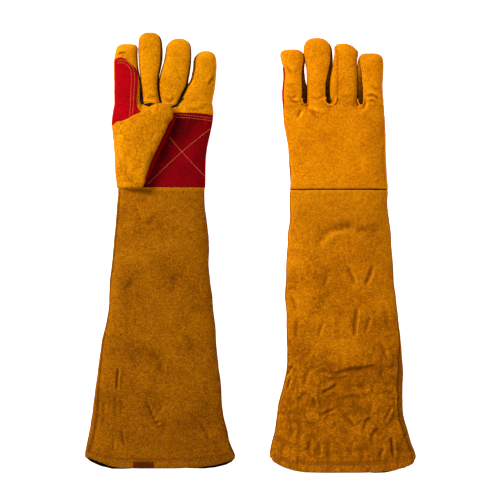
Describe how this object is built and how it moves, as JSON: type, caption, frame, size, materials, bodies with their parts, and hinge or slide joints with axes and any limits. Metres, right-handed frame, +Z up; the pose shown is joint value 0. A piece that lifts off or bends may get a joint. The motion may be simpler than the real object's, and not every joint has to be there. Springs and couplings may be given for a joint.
{
  "type": "beekeeping gloves",
  "caption": "Pair of long suede gauntlets for beekeeping: finger gloves with red palm and index patches and flared forearm cuffs, one palm up with its thumb folded over, one back up.",
  "frame": {"origin": "centre of the pair's bounding box in plan, on the surface that the gloves lie on", "axes": "+Y along both gloves from hem to fingertips, +Z up from the surface, +X from the left-hand glove to the right-hand glove"},
  "size_m": [0.4566, 0.6034, 0.0537],
  "materials": {
    "tan_suede": "matt nap",
    "shaded_tan_suede": "matt nap",
    "red_suede": "matt nap",
    "dark_red_suede": "matt nap",
    "brown_label_leather": "matt",
    "black_lining": "matt"
  },
  "bodies": {
    "left_cuff": {"left_cuff_palm_panel": "shaded_tan_suede", "left_cuff_back_panel": "shaded_tan_suede", "left_cuff_lining": "black_lining", "left_cuff_hem": "shaded_tan_suede", "left_hem_label": "brown_label_leather"},
    "left_wrist": {"left_wrist_band": "tan_suede"},
    "left_hand": {"left_palm_panel": "tan_suede", "left_back_panel": "tan_suede", "left_palm_patch": "dark_red_suede", "left_thumb_strap": "red_suede"},
    "left_thumb": {"left_thumb_outer": "tan_suede", "left_thumb_inner": "tan_suede"},
    "left_index": {"left_index_back": "tan_suede", "left_index_fourchette_inner": "shaded_tan_suede", "left_index_front": "tan_suede", "left_index_patch": "red_suede"},
    "left_middle": {"left_middle_back": "tan_suede", "left_middle_fourchette_left": "shaded_tan_suede", "left_middle_fourchette_right": "shaded_tan_suede", "left_middle_front": "tan_suede"},
    "left_ring": {"left_ring_back": "tan_suede", "left_ring_fourchette_left": "shaded_tan_suede", "left_ring_fourchette_right": "shaded_tan_suede", "left_ring_front": "tan_suede"},
    "left_little": {"left_little_back": "tan_suede", "left_little_fourchette_inner": "shaded_tan_suede", "left_little_front": "tan_suede"},
    "right_cuff": {"right_cuff_palm_panel": "tan_suede", "right_cuff_back_panel": "tan_suede", "right_cuff_lining": "black_lining", "right_cuff_hem": "tan_suede"},
    "right_wrist": {"right_wrist_band": "tan_suede"},
    "right_hand": {"right_palm_panel": "tan_suede", "right_back_panel": "tan_suede", "right_palm_patch": "dark_red_suede", "right_thumb_strap": "red_suede"},
    "right_thumb": {"right_thumb_outer": "tan_suede", "right_thumb_inner": "tan_suede"},
    "right_index": {"right_index_back": "tan_suede", "right_index_fourchette_inner": "shaded_tan_suede", "right_index_front": "tan_suede", "right_index_patch": "red_suede"},
    "right_middle": {"right_middle_back": "tan_suede", "right_middle_fourchette_left": "shaded_tan_suede", "right_middle_fourchette_right": "shaded_tan_suede", "right_middle_front": "tan_suede"},
    "right_ring": {"right_ring_back": "tan_suede", "right_ring_fourchette_left": "shaded_tan_suede", "right_ring_fourchette_right": "shaded_tan_suede", "right_ring_front": "tan_suede"},
    "right_little": {"right_little_back": "tan_suede", "right_little_fourchette_inner": "shaded_tan_suede", "right_little_front": "tan_suede"}
  },
  "joints": [
    {"name": "left_wrist_flex", "type": "hinge", "parent": "left_cuff", "child": "left_wrist", "pos_m": [-0.12341, 0.0849, 0.0327], "axis": [1, 0, 0], "range_deg": [0, 40]},
    {"name": "left_wrist_extend", "type": "hinge", "parent": "left_wrist", "child": "left_hand", "pos_m": [-0.12341, 0.0877, -0.0043], "axis": [-1, 0, 0], "range_deg": [0, 35]},
    {"name": "left_index_curl", "type": "hinge", "parent": "left_hand", "child": "left_index", "pos_m": [-0.16814, 0.2025, 0.0287], "axis": [1, 0, 0], "range_deg": [0, 80]},
    {"name": "left_middle_curl", "type": "hinge", "parent": "left_hand", "child": "left_middle", "pos_m": [-0.13545, 0.2025, 0.0287], "axis": [1, 0, 0], "range_deg": [0, 80]},
    {"name": "left_ring_curl", "type": "hinge", "parent": "left_hand", "child": "left_ring", "pos_m": [-0.11263, 0.2025, 0.0287], "axis": [1, 0, 0], "range_deg": [0, 80]},
    {"name": "left_little_curl", "type": "hinge", "parent": "left_hand", "child": "left_little", "pos_m": [-0.07252, 0.2025, 0.0287], "axis": [1, 0, 0], "range_deg": [0, 80]},
    {"name": "left_thumb_unfold", "type": "hinge", "parent": "left_hand", "child": "left_thumb", "pos_m": [-0.18741, 0.1327, 0.01758], "axis": [0, -1, 0], "range_deg": [0, 120]},
    {"name": "right_wrist_flex", "type": "hinge", "parent": "right_cuff", "child": "right_wrist", "pos_m": [0.12359, 0.0829, 0.01813], "axis": [-1, 0, 0], "range_deg": [0, 40]},
    {"name": "right_wrist_extend", "type": "hinge", "parent": "right_wrist", "child": "right_hand", "pos_m": [0.12359, 0.0857, 0.05538], "axis": [1, 0, 0], "range_deg": [0, 35]},
    {"name": "right_index_curl", "type": "hinge", "parent": "right_hand", "child": "right_index", "pos_m": [0.06066, 0.2005, 0.0185], "axis": [-1, 0, 0], "range_deg": [0, 80]},
    {"name": "right_middle_curl", "type": "hinge", "parent": "right_hand", "child": "right_middle", "pos_m": [0.09335, 0.2005, 0.0185], "axis": [-1, 0, 0], "range_deg": [0, 80]},
    {"name": "right_ring_curl", "type": "hinge", "parent": "right_hand", "child": "right_ring", "pos_m": [0.12947, 0.2005, 0.0185], "axis": [-1, 0, 0], "range_deg": [0, 80]},
    {"name": "right_little_curl", "type": "hinge", "parent": "right_hand", "child": "right_little", "pos_m": [0.16671, 0.2005, 0.0185], "axis": [-1, 0, 0], "range_deg": [0, 80]},
    {"name": "right_thumb_unfold", "type": "hinge", "parent": "right_hand", "child": "right_thumb", "pos_m": [0.05259, 0.1307, 0.0323], "axis": [0, 1, 0], "range_deg": [0, 120]},
    {"name": "right_glove_apart", "type": "slide", "parent": "left_cuff", "child": "right_cuff", "axis": [1, 0, 0], "range_m": [0, 0.15]}
  ]
}
